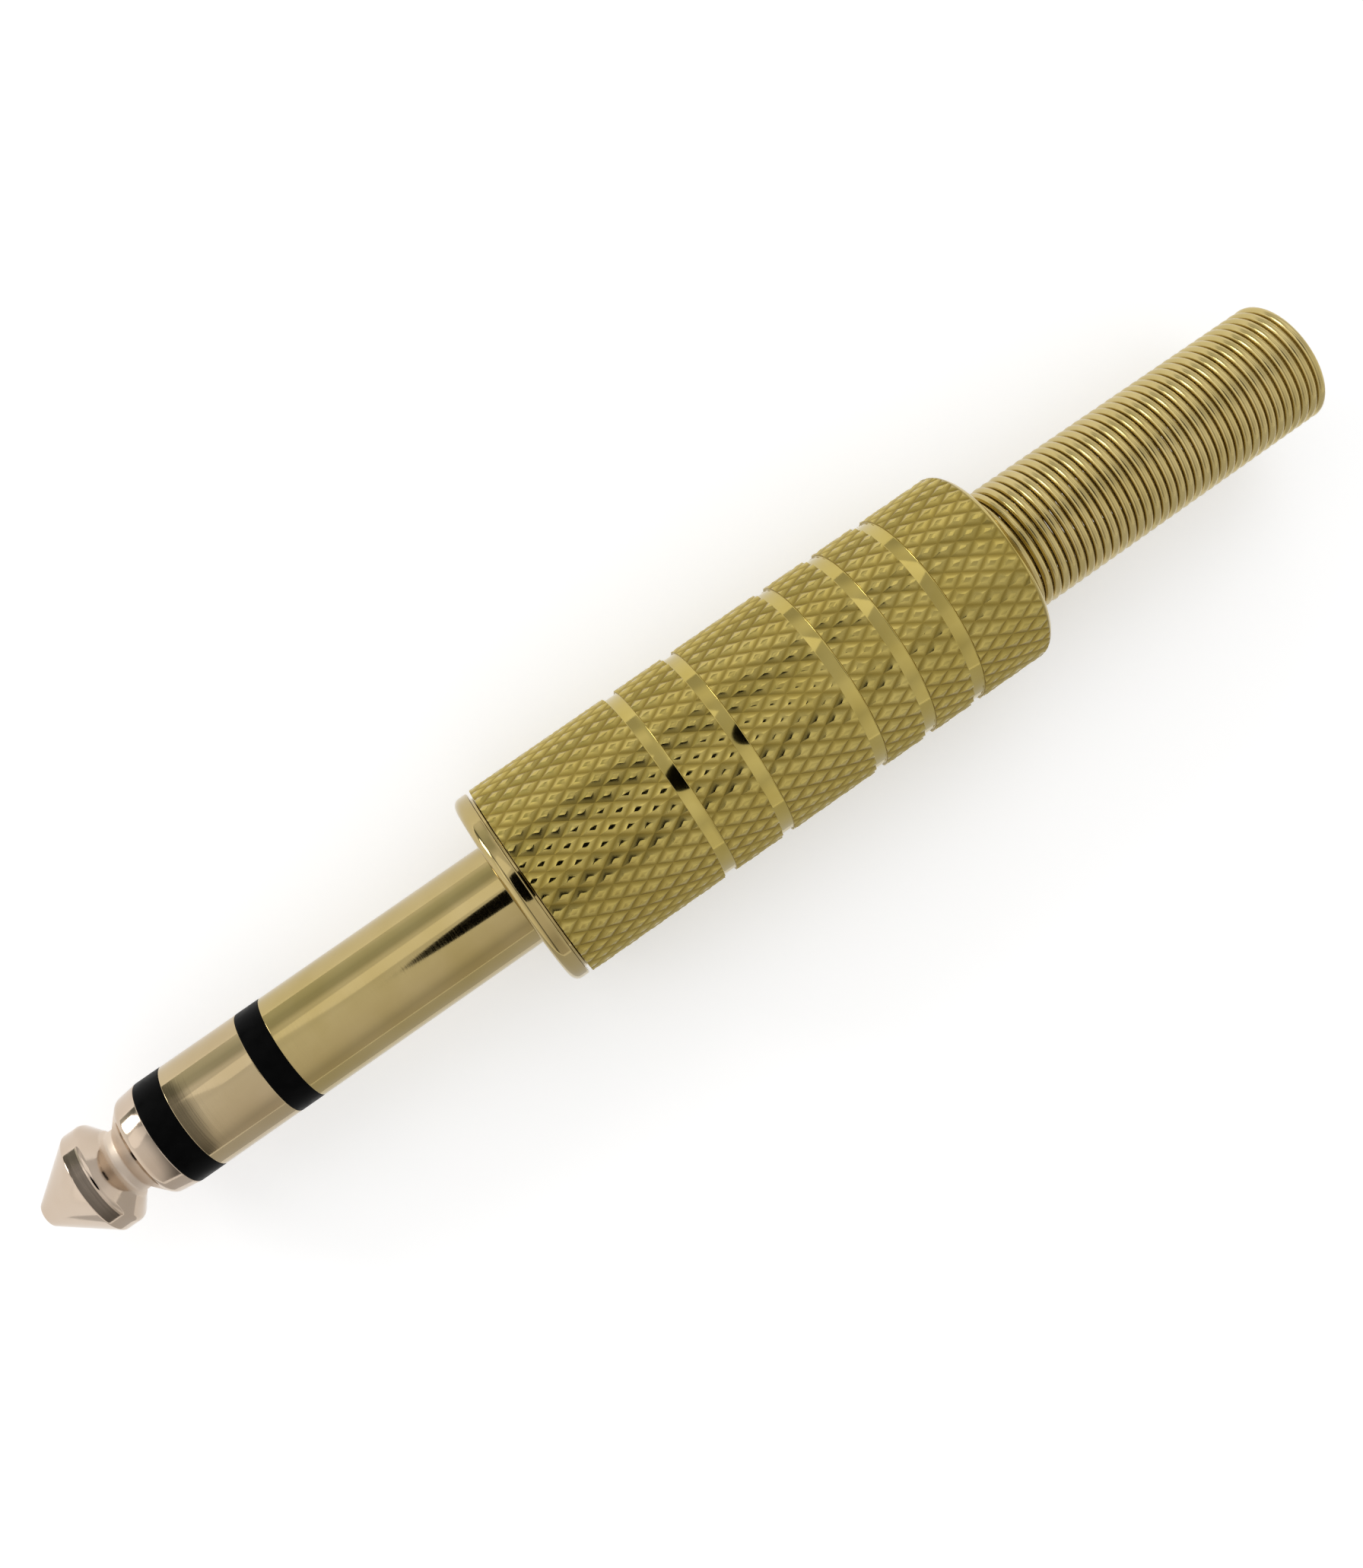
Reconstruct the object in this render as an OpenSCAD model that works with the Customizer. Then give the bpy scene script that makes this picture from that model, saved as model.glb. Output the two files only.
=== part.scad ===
// Stereo jack plug: three contacts, screw cover and spring strain relief.
// The plug lies along X with its tip at +X. The origin is on its axis, at the flange's front face.
// Each piece is drawn along its own Z axis, tip upwards, and then laid along X.

/* [Shank] */
// Diameter of the shank
shank_d = 6.35; // [6.2:0.05:6.6]
// Length of the sleeve in front of the flange
sleeve_len = 14.55; // [12:0.05:17]
// Width of the black collar behind the ring
ring_collar_w = 1.5; // [1:0.05:2]
// Length of the ring
ring_len = 4.85; // [4:0.05:6]
// Width of the black collar behind the tip
tip_collar_w = 1.6; // [1:0.05:2]

/* [Tip] */
// Length of the tip in front of its collar
tip_len = 7.7; // [7.2:0.05:8.4]
// Depth of the head's widest part below the shank, on each side
head_inset = 0.13; // [0.1:0.01:0.3]
// Distance from the point to the middle of the head's widest part
head_at = 3.35; // [3.2:0.05:3.5]
// Length of the head's widest part before it is rounded
head_land = 0.95; // [0.9:0.05:1.1]
// Depth of the neck behind the head below the shank, on each side
neck_depth = 1.3; // [1.1:0.01:1.4]
// Distance from the point to the middle of the neck
neck_at = 5.2; // [5.1:0.05:5.3]
// Length of the neck before it is rounded
neck_land = 0.45; // [0.35:0.05:0.55]
// Distance from the point to the shoulder behind the neck
shoulder_at = 6.45; // [6.35:0.05:6.6]
// Depth of the shoulder behind the neck below the shank, on each side
shoulder_inset = 0.17; // [0.1:0.01:0.25]
// Radius of the rounding on the head's widest part
head_r = 0.9; // [0.5:0.05:0.95]
// Radius of the rounding in the neck
neck_r = 0.2; // [0.1:0.05:0.25]
// Radius of the rounding on the shoulder
shoulder_r = 0.5; // [0.3:0.05:0.6]
// Diameter of the flat that the nose is rounded from
nose_d = 1.3; // [1:0.05:1.5]
// Radius of the rounded nose
nose_r = 0.45; // [0.3:0.05:0.5]

/* [Contacts] */
// Diameter of the tip's rod
rod_d = 2; // [1.8:0.05:2.1]
// Wall of the ring's tail tube
tube_wall = 0.35; // [0.3:0.05:0.4]
// Wall of the insulating tubes
insulator_wall = 0.35; // [0.3:0.05:0.4]

/* [Flange and neck] */
// Depth of the flange's rim below the cover, on each side
flange_inset = 0.05; // [0:0.01:0.15]
// Thickness of the flange
flange_w = 1; // [0.8:0.05:1.6]
// Radius of the flange's front edge
flange_edge_r = 0.5; // [0.2:0.05:0.6]
// Depth of the step that the cover is screwed against below the cover, on each side
step_inset = 0.45; // [0.35:0.01:0.55]
// Width of the open seam between flange and cover
seam_w = 0.15; // [0.1:0.05:0.3]
// Wall of the cover around the thread
thread_wall = 0.95; // [0.85:0.01:1.1]
// Length of the threaded neck
thread_len = 5.9; // [5.5:0.1:6.5]
// Width of the thread's run-out groove
runout_w = 0.6; // [0.4:0.05:0.8]
// Depth of the thread's run-out groove
runout_depth = 0.45; // [0.3:0.05:0.5]
// Size of the chamfer at the start of the thread
chamfer = 0.3; // [0.15:0.05:0.4]
// Length by which the cover's thread runs past the neck
thread_relief = 0.6; // [0.3:0.05:1]
// Wall of the spigot that is staked over the sleeve's terminal
spigot_wall = 0.35; // [0.3:0.05:0.4]

/* [Terminals] */
// Sheet thickness of the sleeve's terminal
plate_t = 0.5; // [0.4:0.05:0.6]
// Width of the plate's rim around the spigot
plate_rim = 0.35; // [0.3:0.05:0.4]
// Angle that the strip takes up around the axis
strip_angle = 56; // [40:1:70]
// Length of the cable clamp
clamp_len = 5; // [4:0.1:6]
// Angle that the clamp's open tabs take up around the axis
clamp_angle = 236; // [200:2:250]
// Radius of the bends in the sheet
bend_r = 0.6; // [0.55:0.05:0.7]
// Thickness of the insulating washers
washer_t = 1; // [0.8:0.05:1.2]
// Width of the washers' rim beyond the spigot
washer_rim = 0.3; // [0.2:0.05:0.35]
// Sheet thickness of the solder lugs
lug_t = 0.4; // [0.35:0.05:0.5]
// Width of the solder lugs' tails
lug_w = 2.2; // [1.8:0.05:2.4]
// Angle between each solder lug and the strip, around the axis
lug_turn = 120; // [110:1:140]
// Diameter of the wire hole in each tail
wire_hole_d = 1.2; // [0.8:0.05:1.4]
// Length of the tip lug's tail
tip_tail_len = 7.5; // [6:0.1:8]
// Length of the ring lug's tail
ring_tail_len = 7; // [6:0.1:8]
// Diameter of the tip rod's riveted end
rivet_d = 3; // [2.8:0.05:3.2]
// Height of the tip rod's riveted end
rivet_h = 0.6; // [0.5:0.05:0.8]
// Radius of the riveted end's edge
rivet_edge_r = 0.4; // [0.2:0.05:0.45]

/* [Cover] */
// Diameter of the cover
cover_d = 12.1; // [11.6:0.05:12.6]
// Length of the cover
cover_len = 31.6; // [30.5:0.1:34]
// Wall of the cover around its bore
cover_wall = 1.3; // [1.2:0.05:1.4]
// Thickness of the cover's rear wall
rear_wall = 1.2; // [1:0.1:1.6]
// Radius of the cover's rear edge
rear_edge_r = 1; // [0.6:0.05:1.2]
// Radius of the cover's front edge
front_edge_r = 0.15; // [0.1:0.05:0.25]
// Radius of the rear hole's edge
hole_edge_r = 0.2; // [0.1:0.05:0.3]
// Distance from the cover's front to the first groove
pair_at = 9.3; // [7:0.05:10]
// Distance between the front pair of grooves
pair_step = 3.9; // [3:0.05:5]
// Distance from the cover's front to the third groove
trio_at = 19.55; // [18:0.05:20.5]
// Distance between the rear three grooves
trio_step = 3.35; // [2.5:0.05:4]
// Width of a groove
groove_w = 0.8; // [0.5:0.05:1]
// Depth of a groove
groove_depth = 0.18; // [0.1:0.01:0.25]

/* [Spring] */
// Outside diameter of the spring where it leaves the cover
spring_d = 7.8; // [7.5:0.05:8]
// Taper of the spring towards its free end, on each side
spring_taper = 0.15; // [0:0.01:0.25]
// Length of the spring behind the cover
spring_len = 21.2; // [16:0.1:24]
// Diameter of the wire
wire_d = 0.53; // [0.5:0.01:0.6]
// Smallest gap from one turn to the next
turn_gap = 0.05; // [0.04:0.01:0.1]
// Number of wide turns that the rear wall traps
wide_turns = 1.5; // [1:0.25:2.5]
// Number of turns in which the wide turns narrow
narrowing_turns = 1.25; // [1:0.25:2]

/* [Liner] */
// Wall of the insulating liner
liner_wall = 0.35; // [0.3:0.05:0.4]

/* [Fits] */
// Gap on each side where one fixed piece fits over another
fit_gap = 0.03; // [0.02:0.01:0.05]
// Gap on each side between the thread and the cover
thread_gap = 0.1; // [0.05:0.01:0.12]
// Gap between the cover and the step that it seats on
seat_gap = 0.05; // [0.03:0.01:0.1]
// Gap between the liner and the cover's bore, on each side
liner_gap = 0.1; // [0.05:0.01:0.15]
// Gap between the liner and the wide turns of the spring
liner_end_gap = 0.3; // [0.2:0.05:0.5]
// Gap between the spring and the cover
spring_gap = 0.15; // [0.1:0.01:0.2]
// Gap between the terminal's strip and the liner
strip_gap = 0.25; // [0.2:0.05:0.3]
// Gap between a lug's tail and the pieces that it passes
tail_gap = 0.15; // [0.1:0.01:0.2]
// Gap between the cable clamp and the wide turns of the spring
clamp_gap = 2.5; // [1.5:0.1:3.5]

/* [Hidden] */
$fn = 96;

gold = [0.80, 0.68, 0.36];
pale_gold = [0.86, 0.77, 0.56];
black = [0.06, 0.06, 0.07];
fibre = [0.55, 0.22, 0.14];
tinned = [0.78, 0.78, 0.76];
milky = [0.88, 0.88, 0.84];

// Facets: arcs of a turned outline, turns of the wire, and sides of the wire
arc_steps = 6;
turn_steps = 16;
wire_sides = 6;

// Radii of the nested contacts, from the axis outwards
shank_r = shank_d / 2;
head_tip_r = shank_r - head_inset;
neck_tip_r = shank_r - neck_depth;
shoulder_tip_r = shank_r - shoulder_inset;
rod_r = rod_d / 2;
inner_tube_r = rod_r + fit_gap + insulator_wall;
ring_bore_r = inner_tube_r + fit_gap;
ring_tube_r = ring_bore_r + tube_wall;
outer_tube_r = ring_tube_r + fit_gap + insulator_wall;
sleeve_bore_r = outer_tube_r + fit_gap;
spigot_r = sleeve_bore_r + spigot_wall;
washer_r = spigot_r + washer_rim;

// Radii from the cover's outside inwards
cover_r = cover_d / 2;
flange_r = cover_r - flange_inset;
step_r = cover_r - step_inset;
thread_bore_r = cover_r - thread_wall;
thread_r = thread_bore_r - thread_gap;
bore_r = cover_r - cover_wall;
liner_r = bore_r - liner_gap;
strip_r = liner_r - liner_wall - strip_gap;

// Places along the axis in front of the flange
ring_collar_z = sleeve_len;
ring_z = ring_collar_z + ring_collar_w;
tip_collar_z = ring_z + ring_len;
tip_z = tip_collar_z + tip_collar_w;
point_z = tip_z + tip_len;

// Places along the axis behind the flange
flange_back_z = -flange_w;
step_z = flange_back_z - seam_w;
neck_z = step_z - thread_len;
plate_z = neck_z - plate_t;
ring_washer_z = plate_z - washer_t;
ring_lug_z = ring_washer_z - lug_t;
tip_washer_z = ring_lug_z - washer_t;
tip_lug_z = tip_washer_z - lug_t;
cover_z = step_z - seat_gap;
cover_end_z = cover_z - cover_len;
rear_wall_z = cover_end_z + rear_wall;

// The spring's turns, from the wide end inside the cover to the free end
wire_r = wire_d / 2;
spring_r = spring_d / 2 - wire_r;
wide_r = bore_r - spring_gap - wire_r;
rear_hole_r = spring_d / 2 + spring_gap;
hidden_turns = wide_turns + narrowing_turns;
trapped_z = rear_wall_z + spring_gap + wire_r;
spring_end_z = cover_end_z - spring_len + wire_r;
open_turns = floor((trapped_z - spring_end_z) / (wire_d + turn_gap) + hidden_turns) - hidden_turns;
turns = open_turns + hidden_turns;
spring_pitch = (trapped_z - spring_end_z) / open_turns;
wide_z = trapped_z + spring_pitch * hidden_turns;

// The cover's thread, the liner and the cable clamp
thread_bore_z = neck_z - thread_relief;
liner_end_z = wide_z + wire_r + liner_end_gap;
clamp_end_z = wide_z + wire_r + clamp_gap;
clamp_z = clamp_end_z + clamp_len;

// Turns a corner with a radius into points on an arc, and leaves a sharp corner as it is
function unit(v) = v / norm(v);
function arc_points(centre, from, sweep) =
    [for (i = [0:arc_steps]) let (a = sweep * i / arc_steps)
        centre + [from.x * cos(a) - from.y * sin(a), from.x * sin(a) + from.y * cos(a)]];
function corner(before, at, after, r) =
    let (
        u = unit(before - at),
        v = unit(after - at),
        half = acos(max(-1, min(1, u * v))) / 2,
        centre = at + unit(u + v) * r / sin(half),
        from = at + u * r / tan(half) - centre,
        side = u.x * v.y - u.y * v.x < 0 ? 1 : -1
    )
    arc_points(centre, from, side * (180 - 2 * half));
function place(p) = [p.x, p.y];
function rounded(points) =
    let (n = len(points))
    [for (i = [0:n - 1])
        let (p = points[i], r = is_undef(p.z) ? 0 : p.z)
        each r > 0 ? corner(place(points[(i + n - 1) % n]), place(p), place(points[(i + 1) % n]), r) : [place(p)]];

// Lays a piece, drawn tip upwards, along X
module lay() {
    rotate([0, 90, 0]) children();
}

// A turned piece: its outline is given as radius, height and, where a corner is rounded, the corner's radius
module turned(outline) {
    rotate_extrude() polygon(rounded(outline));
}

// A ring between two heights
module ring(inner_r, outer_r, low_z, high_z) {
    turned([[inner_r, low_z], [outer_r, low_z], [outer_r, high_z], [inner_r, high_z]]);
}

// A collar as wide as the shank, with a thinner tube behind it
module collared_tube(bore_r, tube_r, tube_end_z, collar_z, collar_end_z) {
    turned([
        [bore_r, tube_end_z], [tube_r, tube_end_z], [tube_r, collar_z],
        [shank_r, collar_z], [shank_r, collar_end_z], [bore_r, collar_end_z]
    ]);
}

module tip_contact() {
    color(pale_gold) lay() turned([
        [0, tip_lug_z - rivet_h],
        [rivet_d / 2, tip_lug_z - rivet_h, rivet_edge_r],
        [rivet_d / 2, tip_lug_z],
        [rod_r, tip_lug_z],
        [rod_r, tip_z],
        [shank_r, tip_z],
        [shoulder_tip_r, point_z - shoulder_at, shoulder_r],
        [neck_tip_r, point_z - neck_at - neck_land / 2, neck_r],
        [neck_tip_r, point_z - neck_at + neck_land / 2, neck_r],
        [head_tip_r, point_z - head_at - head_land / 2, head_r],
        [head_tip_r, point_z - head_at + head_land / 2, head_r],
        [nose_d / 2, point_z, nose_r],
        [0, point_z]
    ]);
}

module tip_insulator() {
    color(black) lay() collared_tube(rod_r + fit_gap, inner_tube_r, ring_lug_z, tip_collar_z, tip_z);
}

module ring_contact() {
    color(gold) lay() collared_tube(ring_bore_r, ring_tube_r, ring_lug_z, ring_z, tip_collar_z);
}

module ring_insulator() {
    color(black) lay() collared_tube(ring_tube_r + fit_gap, outer_tube_r, plate_z, ring_collar_z, ring_z);
}

module sleeve_body() {
    runout_r = thread_r - runout_depth;
    runout_z = step_z - runout_w;
    color(gold) lay() turned([
        [sleeve_bore_r, plate_z], [spigot_r, plate_z], [spigot_r, neck_z],
        [thread_r - chamfer, neck_z], [thread_r, neck_z + chamfer],
        [thread_r, runout_z - runout_depth], [runout_r, runout_z], [runout_r, step_z],
        [step_r, step_z], [step_r, flange_back_z],
        [flange_r, flange_back_z, flange_edge_r / 4], [flange_r, 0, flange_edge_r],
        [shank_r, 0], [shank_r, sleeve_len], [sleeve_bore_r, sleeve_len]
    ]);
}

// Cuts away what lies outside a radius, all but an angle that is centred on the side that faces down
module cut_to_angle(kept_angle, inner_r, low_z, high_z) {
    rotate([0, 0, kept_angle / 2]) rotate_extrude(angle = 360 - kept_angle)
        translate([inner_r, low_z]) square([strip_r, high_z - low_z]);
}

// Folded sheet: a plate staked to the neck, a curved strip, and a clamp whose tabs stand open
module sleeve_terminal() {
    hole_r = spigot_r + fit_gap;
    rim_r = hole_r + plate_rim;
    inner_r = strip_r - plate_t;
    inner_bend_r = min(bend_r - plate_t, (inner_r - hole_r) / 2);
    color(gold) lay() difference() {
        turned([
            [hole_r, plate_z], [inner_r, plate_z, inner_bend_r], [inner_r, clamp_end_z],
            [strip_r, clamp_end_z], [strip_r, neck_z, bend_r], [hole_r, neck_z]
        ]);
        cut_to_angle(strip_angle, rim_r, clamp_z, neck_z + plate_t);
        cut_to_angle(clamp_angle, rim_r, clamp_end_z - plate_t, clamp_z + plate_t);
    }
}

module ring_washer() {
    color(fibre) lay() ring(ring_tube_r + fit_gap, washer_r, ring_washer_z, plate_z);
}

// A solder lug: an eye around the axis, and a tail bent back along it with a wire hole near its round end
module solder_lug(hole_r, eye_r, low_z, tail_r, tail_len, turn) {
    high_z = low_z + lug_t;
    tail_end_z = low_z - tail_len + lug_w / 2;
    tail_outline = [
        [eye_r - lug_t, low_z], [tail_r, low_z, bend_r - lug_t], [tail_r, tail_end_z],
        [tail_r + lug_t, tail_end_z], [tail_r + lug_t, high_z, bend_r], [eye_r - lug_t, high_z]
    ];
    rotate([0, 0, turn]) difference() {
        union() {
            ring(hole_r, eye_r, low_z, high_z);
            translate([0, lug_w / 2, 0]) rotate([90, 0, 0]) linear_extrude(lug_w) polygon(rounded(tail_outline));
            translate([tail_r, 0, tail_end_z]) rotate([0, 90, 0]) cylinder(d = lug_w, h = lug_t);
        }
        translate([tail_r - lug_t, 0, tail_end_z]) rotate([0, 90, 0]) cylinder(d = wire_hole_d, h = 3 * lug_t);
    }
}

module ring_terminal() {
    tail_r = washer_r + tail_gap;
    color(tinned) lay()
        solder_lug(ring_tube_r + fit_gap, washer_r, ring_lug_z, tail_r, ring_tail_len, lug_turn);
}

module tip_washer() {
    color(fibre) lay() ring(rod_r + fit_gap, washer_r, tip_washer_z, ring_lug_z);
}

module tip_terminal() {
    tail_r = rivet_d / 2 + 2 * tail_gap;
    color(tinned) lay()
        solder_lug(rod_r + fit_gap, tail_r, tip_lug_z, tail_r, tip_tail_len, -lug_turn);
}

module liner() {
    color(milky) lay() ring(liner_r - liner_wall, liner_r, liner_end_z, thread_bore_z);
}

module cover() {
    groove_places = [pair_at, pair_at + pair_step, trio_at, trio_at + trio_step, trio_at + 2 * trio_step];
    color(gold) lay() difference() {
        turned([
            [rear_hole_r, cover_end_z, hole_edge_r], [cover_r, cover_end_z, rear_edge_r],
            [cover_r, cover_z, front_edge_r], [thread_bore_r + chamfer / 2, cover_z],
            [thread_bore_r, cover_z - chamfer / 2], [thread_bore_r, thread_bore_z],
            [bore_r, thread_bore_z], [bore_r, rear_wall_z], [rear_hole_r, rear_wall_z]
        ]);
        for (at = groove_places)
            ring(cover_r - groove_depth, cover_r + groove_depth,
                cover_z - at - groove_w / 2, cover_z - at + groove_w / 2);
    }
}

// Radius of the wire's middle after some turns: wide, then narrowing, then a slight taper to the free end
function turn_r(t) =
    let (narrowed = max(0, min(1, (t - wide_turns) / narrowing_turns)), run = max(0, t - hidden_turns) / open_turns)
    wide_r + (spring_r - wide_r) * (1 - cos(180 * narrowed)) / 2 - spring_taper * run;

// One ring of points around the wire after some turns
function wire_ring(t) =
    [for (i = [0:wire_sides - 1]) let (a = 360 * i / wire_sides, r = turn_r(t) + wire_r * cos(a))
        [r * cos(-360 * t), r * sin(-360 * t), wide_z - spring_pitch * t + wire_r * sin(a)]];

// Wire swept along a helix
module spring() {
    last = round(turns * turn_steps);
    points = [for (i = [0:last]) each wire_ring(turns * i / last)];
    sides = [for (i = [0:last - 1], j = [0:wire_sides - 1])
        let (a = i * wire_sides + j, b = i * wire_sides + (j + 1) % wire_sides)
        each [[a, b, b + wire_sides], [a, b + wire_sides, a + wire_sides]]];
    first_cap = [for (j = [wire_sides - 1:-1:0]) j];
    last_cap = [for (j = [0:wire_sides - 1]) last * wire_sides + j];
    color(gold) lay() polyhedron(points, concat(sides, [first_cap, last_cap]), convexity = 20);
}

tip_contact();
tip_insulator();
ring_contact();
ring_insulator();
sleeve_body();
sleeve_terminal();
ring_washer();
ring_terminal();
tip_washer();
tip_terminal();
liner();
cover();
spring();
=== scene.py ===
import math

import bmesh
import bpy
from mathutils import Matrix, Vector


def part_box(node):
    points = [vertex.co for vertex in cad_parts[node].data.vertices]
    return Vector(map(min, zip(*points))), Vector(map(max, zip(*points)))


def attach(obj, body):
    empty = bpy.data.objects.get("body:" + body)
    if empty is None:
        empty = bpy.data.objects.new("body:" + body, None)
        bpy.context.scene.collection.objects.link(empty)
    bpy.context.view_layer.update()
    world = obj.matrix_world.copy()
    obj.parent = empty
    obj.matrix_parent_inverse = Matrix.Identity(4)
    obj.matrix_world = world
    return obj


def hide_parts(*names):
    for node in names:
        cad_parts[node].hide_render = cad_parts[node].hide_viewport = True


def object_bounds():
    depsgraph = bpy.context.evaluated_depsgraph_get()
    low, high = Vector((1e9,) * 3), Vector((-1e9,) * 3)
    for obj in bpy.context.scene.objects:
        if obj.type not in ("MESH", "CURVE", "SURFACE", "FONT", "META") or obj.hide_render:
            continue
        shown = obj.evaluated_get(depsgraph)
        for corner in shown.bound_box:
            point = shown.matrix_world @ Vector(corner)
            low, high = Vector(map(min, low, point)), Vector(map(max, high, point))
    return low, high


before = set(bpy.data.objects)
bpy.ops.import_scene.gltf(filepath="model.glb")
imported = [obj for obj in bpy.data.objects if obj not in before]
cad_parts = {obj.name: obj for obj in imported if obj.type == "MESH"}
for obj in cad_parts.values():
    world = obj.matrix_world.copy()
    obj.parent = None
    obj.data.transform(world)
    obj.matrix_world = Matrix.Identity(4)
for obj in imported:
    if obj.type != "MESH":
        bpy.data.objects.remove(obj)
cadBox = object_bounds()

print("frame loaded:", len(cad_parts), "nodes")

mm = 0.001
weld = 0.0005 * mm  # points closer than this are one point
fullTurn = 2 * math.pi
plugAxis = (1, 0, 0)  # the tip points along +X


# What the solids give: where each piece starts and ends along X, and how wide it is
def lowX(node):
    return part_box(node)[0].x / mm


def highX(node):
    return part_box(node)[1].x / mm


def radiusOf(node):
    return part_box(node)[1].y / mm


# Tools for shaping by hand
def selectOnly(piece):
    bpy.ops.object.select_all(action="DESELECT")
    piece.select_set(True)
    bpy.context.view_layer.objects.active = piece


def select(piece, kind, test):
    bpy.ops.mesh.select_mode(type=kind)
    bpy.ops.mesh.select_all(action="DESELECT")
    mesh = bmesh.from_edit_mesh(piece.data)
    for part in {"VERT": mesh.verts, "EDGE": mesh.edges, "FACE": mesh.faces}[kind]:
        if test(part):
            part.select_set(True)
    mesh.select_flush_mode()
    bmesh.update_edit_mesh(piece.data)


def startPiece(name):
    # the new primitive, in edit mode with all of it selected
    piece = bpy.context.object
    piece.name = name
    piece.data.name = name
    bpy.ops.object.transform_apply(location=True, rotation=True, scale=True)
    bpy.ops.object.mode_set(mode="EDIT")
    bpy.ops.mesh.select_mode(type="VERT")
    bpy.ops.mesh.select_all(action="SELECT")
    return piece


def drawOutline(name, corners, closed=True):
    # one point, extruded from corner to corner: each is x, radius and, where it is rounded, that radius
    bpy.ops.object.select_all(action="DESELECT")
    bpy.ops.mesh.primitive_plane_add(size=mm)
    piece = startPiece(name)
    bpy.ops.mesh.merge(type="CENTER")
    places = [Vector((corner[0] * mm, 0, corner[1] * mm)) for corner in corners]
    bpy.ops.transform.translate(value=places[0])
    path = places + places[:1] if closed else places
    for here, there in zip(path, path[1:]):
        bpy.ops.mesh.extrude_vertices_move(TRANSFORM_OT_translate={"value": there - here})
    bpy.ops.mesh.select_all(action="SELECT")
    bpy.ops.mesh.remove_doubles(threshold=weld)
    for index, corner in enumerate(corners):
        if len(corner) > 2:
            roundCorner(piece, corners, index)
    return piece


def roundCorner(piece, corners, index, arcStep=math.radians(9)):
    at = Vector(corners[index][:2])
    before = Vector(corners[index - 1][:2]) - at
    after = Vector(corners[(index + 1) % len(corners)][:2]) - at
    half = before.angle(after) / 2
    place = Vector((at.x * mm, 0, at.y * mm))
    select(piece, "VERT", lambda vert: (vert.co - place).length < weld)
    bpy.ops.mesh.bevel(
        offset=corners[index][2] * mm / math.tan(half),
        segments=max(2, round((math.pi - 2 * half) / arcStep)),
        affect="VERTICES",
        clamp_overlap=False,
    )


def closeMesh():
    bpy.ops.mesh.select_all(action="SELECT")
    bpy.ops.mesh.remove_doubles(threshold=weld)
    bpy.ops.mesh.normals_make_consistent(inside=False)


def capEnds():
    bpy.ops.mesh.select_all(action="SELECT")
    bpy.ops.mesh.fill_holes(sides=0)
    closeMesh()


def turnPiece(name, corners, steps=128, closed=True):
    piece = drawOutline(name, corners, closed)
    bpy.ops.mesh.select_all(action="SELECT")
    bpy.ops.mesh.spin(steps=steps, angle=fullTurn, center=(0, 0, 0), axis=plugAxis, use_auto_merge=True)
    closeMesh()
    bpy.ops.object.mode_set(mode="OBJECT")
    return piece


def applyModifier(piece, kind, **values):
    selectOnly(piece)
    bpy.ops.object.modifier_add(type=kind)
    modifier = piece.modifiers[-1]
    for key, value in values.items():
        setattr(modifier, key, value)
    bpy.ops.object.modifier_apply(modifier=modifier.name)


def windAlong(piece, turns, length, turnSteps):
    # turns and length are negative towards the tail
    steps = round(abs(turns) * turnSteps)
    applyModifier(
        piece, "SCREW", axis="X", angle=fullTurn * turns, screw_offset=length * mm,
        iterations=1, steps=steps, render_steps=steps, use_merge_vertices=False,
    )


def bevelEdges(piece, width, sharpAngle=50):
    applyModifier(
        piece, "BEVEL", width=width * mm, segments=2, limit_method="ANGLE", angle_limit=math.radians(sharpAngle)
    )


def combine(piece, other, operation):
    applyModifier(piece, "BOOLEAN", object=other, operation=operation, solver="MANIFOLD")
    bpy.data.objects.remove(other)


def finishPiece(piece, body, material, nodes, sharpAngle=32):
    selectOnly(piece)
    bpy.ops.object.shade_smooth_by_angle(angle=math.radians(sharpAngle))
    piece.data.materials.clear()
    piece.data.materials.append(material)
    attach(piece, body)
    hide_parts(*nodes)
    print("piece:", piece.name, len(piece.data.polygons), "faces")


# Tools for finishes
noiseSpan = (0.3, 0.7)  # nearly all of a noise lies between these
mixSockets = {"FLOAT": (2, 3, 0), "RGBA": (6, 7, 2)}  # numbers of a Mix node's two inputs and of its output


def newFinish(name, metallic, shine=0.5):
    material = bpy.data.materials.new(name)
    material.use_nodes = True
    shader = material.node_tree.nodes["Principled BSDF"]
    shader.inputs["Metallic"].default_value = metallic
    shader.inputs["Specular IOR Level"].default_value = shine
    return material, shader


def addNode(material, kind, links=(), **values):
    # links: the input's name or number, and the socket that feeds it
    node = material.node_tree.nodes.new(kind)
    for key, value in values.items():
        if key in node.bl_rna.properties:
            setattr(node, key, value)
        else:
            node.inputs[key].default_value = value
    for inputName, socket in links:
        material.node_tree.links.new(socket, node.inputs[inputName])
    return node


def feed(material, value, target):
    # a socket is linked to the target, and anything else becomes the target's own value
    if isinstance(value, bpy.types.NodeSocket):
        material.node_tree.links.new(value, target)
    else:
        target.default_value = value


def objectNoise(material, scale, stretch=(1, 1, 1), detail=3.0):
    coords = addNode(material, "ShaderNodeTexCoord")
    mapping = addNode(material, "ShaderNodeMapping", [("Vector", coords.outputs["Object"])], Scale=stretch)
    noise = addNode(
        material, "ShaderNodeTexNoise", [("Vector", mapping.outputs["Vector"])], Scale=scale, Detail=detail
    )
    return noise.outputs["Fac"]


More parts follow.
